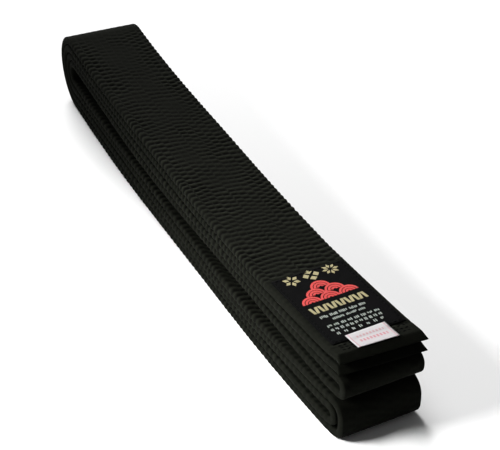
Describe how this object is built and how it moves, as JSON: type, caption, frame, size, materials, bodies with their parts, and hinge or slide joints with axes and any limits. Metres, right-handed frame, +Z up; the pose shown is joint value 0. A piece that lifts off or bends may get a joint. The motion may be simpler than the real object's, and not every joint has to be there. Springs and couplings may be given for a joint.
{
  "type": "martial arts belt",
  "caption": "Black cotton martial arts belt folded flat into a stacked pack, with a woven label at one end; the pack opens at its far folds and the belt ends lift.",
  "frame": {"origin": "centre of the footprint at the height of the table the pack lies on", "axes": "+X along the pack towards the two belt ends and the label, +Y across the belt's width, +Z up"},
  "size_m": [0.3343, 0.0449, 0.0472],
  "materials": {
    "black_cotton": "matt twill, puckered by the stitching",
    "core_canvas": "plain canvas",
    "black_thread": "soft sheen",
    "label_weave": "fine satin weave",
    "sticker_paper": "uncoated"
  },
  "bodies": {
    "lower_layers": {"cover_layer_8": "black_cotton", "cover_near_fold_outer": "black_cotton", "cover_layer_5": "black_cotton", "cover_layer_6": "black_cotton", "cover_near_fold_inner": "black_cotton", "cover_layer_7": "black_cotton", "cover_far_fold_1_8": "black_cotton", "cover_far_fold_4_5": "black_cotton", "cover_far_fold_3_6": "black_cotton", "cover_far_fold_2_7": "black_cotton", "core_lower_outer_ply_a": "core_canvas", "core_lower_outer_ply_b": "core_canvas", "core_lower_inner_ply_a": "core_canvas", "core_lower_inner_ply_b": "core_canvas", "core_far_fold_1_8_ply_a": "core_canvas", "core_far_fold_1_8_ply_b": "core_canvas", "core_far_fold_4_5_ply_a": "core_canvas", "core_far_fold_4_5_ply_b": "core_canvas", "core_far_fold_3_6_ply_a": "core_canvas", "core_far_fold_3_6_ply_b": "core_canvas", "core_far_fold_2_7_ply_a": "core_canvas", "core_far_fold_2_7_ply_b": "core_canvas"},
    "middle_layers": {"cover_layer_4": "black_cotton", "cover_near_fold_middle": "black_cotton", "cover_layer_3": "black_cotton", "cover_plain_bend": "black_cotton", "cover_label_bend_a": "black_cotton", "core_middle_ply_a": "core_canvas", "core_middle_ply_b": "core_canvas", "core_plain_bend_ply_a": "core_canvas", "core_plain_bend_ply_b": "core_canvas", "core_label_bend_a_ply_a": "core_canvas", "core_label_bend_a_ply_b": "core_canvas"},
    "plain_end": {"cover_plain_end": "black_cotton", "plain_end_stitching": "black_thread", "cover_label_bend_b": "black_cotton", "core_plain_end_ply_a": "core_canvas", "core_plain_end_ply_b": "core_canvas", "core_label_bend_b_ply_a": "core_canvas", "core_label_bend_b_ply_b": "core_canvas"},
    "label_end": {"cover_label_end": "black_cotton", "label_end_stitching": "black_thread", "woven_label": "label_weave", "label_stitching": "black_thread", "size_sticker": "sticker_paper", "core_label_end_ply_a": "core_canvas", "core_label_end_ply_b": "core_canvas"}
  },
  "joints": [
    {"name": "far_fold_opening", "type": "hinge", "parent": "lower_layers", "child": "middle_layers", "pos_m": [-0.15545, 0.00185, 0.02155], "axis": [-0.0552, -0.9985, 0], "range_deg": [0, 180], "deforming": ["cover_far_fold_1_8", "cover_far_fold_4_5", "cover_far_fold_3_6", "cover_far_fold_2_7", "core_far_fold_1_8_ply_a", "core_far_fold_1_8_ply_b", "core_far_fold_4_5_ply_a", "core_far_fold_4_5_ply_b", "core_far_fold_3_6_ply_a", "core_far_fold_3_6_ply_b", "core_far_fold_2_7_ply_a", "core_far_fold_2_7_ply_b"]},
    {"name": "plain_end_lift", "type": "hinge", "parent": "middle_layers", "child": "plain_end", "pos_m": [-0.13645, 0.00086, 0.03855], "axis": [-0.0485, -0.9988, 0], "range_deg": [0, 85], "deforming": ["cover_plain_bend", "cover_label_bend_a", "core_plain_bend_ply_a", "core_plain_bend_ply_b", "core_label_bend_a_ply_a", "core_label_bend_a_ply_b"]},
    {"name": "label_end_lift", "type": "hinge", "parent": "plain_end", "child": "label_end", "pos_m": [-0.12045, 0.00013, 0.04296], "axis": [-0.0428, -0.9991, 0], "range_deg": [0, 85], "deforming": ["cover_label_bend_b", "core_label_bend_b_ply_a", "core_label_bend_b_ply_b"]}
  ]
}
